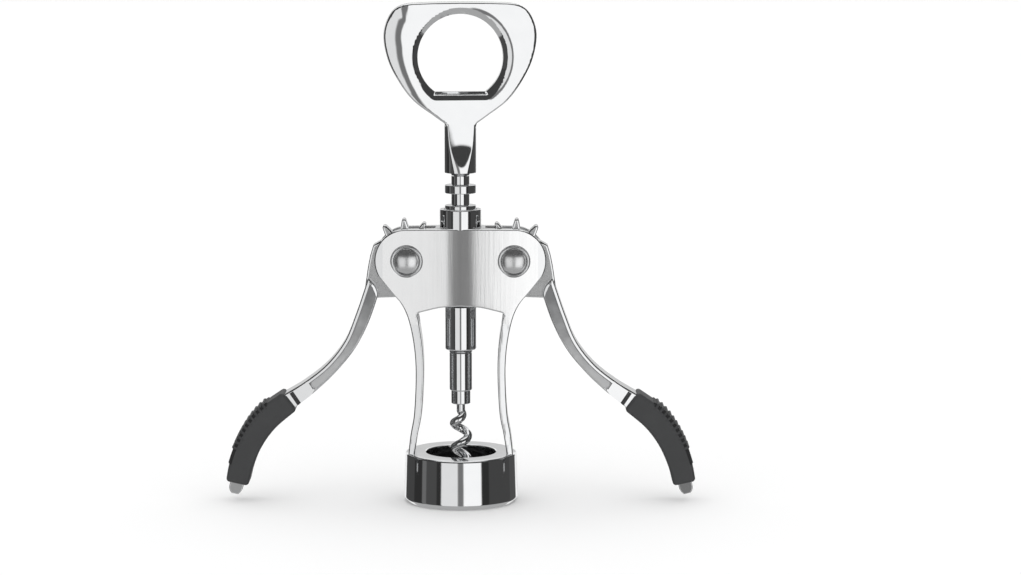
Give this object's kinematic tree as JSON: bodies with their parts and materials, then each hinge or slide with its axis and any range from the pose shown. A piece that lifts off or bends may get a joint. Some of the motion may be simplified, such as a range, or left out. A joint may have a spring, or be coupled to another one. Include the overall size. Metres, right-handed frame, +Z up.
{
  "type": "lever corkscrew",
  "caption": "Two-lever corkscrew: geared levers drive a round rack and worm through a bottle ring, and the handle is a crown-cap opener.",
  "frame": {"origin": "centre of the base ring's lower face, on the axis of the worm", "axes": "+Z up along the worm's axis, +X towards the right lever, -Y towards the front of the head; stored with the levers half open and the handle up"},
  "size_m": [0.1646, 0.04, 0.1755],
  "materials": {
    "polished_chrome": "polished chrome plate on cast zinc, satin-brushed on the head's faces and in the arms' recesses",
    "plain_steel": "turned steel",
    "black_nylon": "moulded black nylon",
    "soft_touch_grey": "dark grey soft-touch moulding"
  },
  "bodies": {
    "frame": {"frame": "polished_chrome", "ring_liner": "black_nylon", "left_pivot_pin": "polished_chrome", "right_pivot_pin": "polished_chrome", "left_pivot_cap": "polished_chrome", "right_pivot_cap": "polished_chrome", "left_front_washer": "polished_chrome", "left_rear_washer": "polished_chrome", "right_front_washer": "polished_chrome", "right_rear_washer": "polished_chrome"},
    "rack": {"rack": "polished_chrome"},
    "spindle": {"handle": "polished_chrome", "core_rod": "plain_steel", "neck_grub_screw": "plain_steel", "upper_thrust_washer": "plain_steel", "lower_thrust_washer": "plain_steel", "worm_ferrule": "polished_chrome", "worm": "polished_chrome"},
    "left_lever": {"left_lever": "polished_chrome", "left_grip": "soft_touch_grey"},
    "right_lever": {"right_lever": "polished_chrome", "right_grip": "soft_touch_grey"}
  },
  "joints": [
    {"name": "rack_slide", "type": "slide", "parent": "frame", "child": "rack", "axis": [0, 0, 1], "range_m": [-0.029, 0.006]},
    {"name": "handle_spin", "type": "hinge", "parent": "rack", "child": "spindle", "pos_m": [0, 0, 0.12], "axis": [0, 0, 1], "continuous": true},
    {"name": "left_lever_swing", "type": "hinge", "parent": "frame", "child": "left_lever", "pos_m": [-0.0187, 0, 0.0857], "axis": [0, 1, 0], "range_deg": [-25.4, 122.6]},
    {"name": "right_lever_swing", "type": "hinge", "parent": "frame", "child": "right_lever", "pos_m": [0.0187, 0, 0.0857], "axis": [0, -1, 0], "range_deg": [-25.4, 122.6]}
  ],
  "couplings": [
    {"joint": "left_lever_swing", "follows": "rack_slide", "rad_per_m": -73.746},
    {"joint": "right_lever_swing", "follows": "rack_slide", "rad_per_m": -73.746}
  ]
}
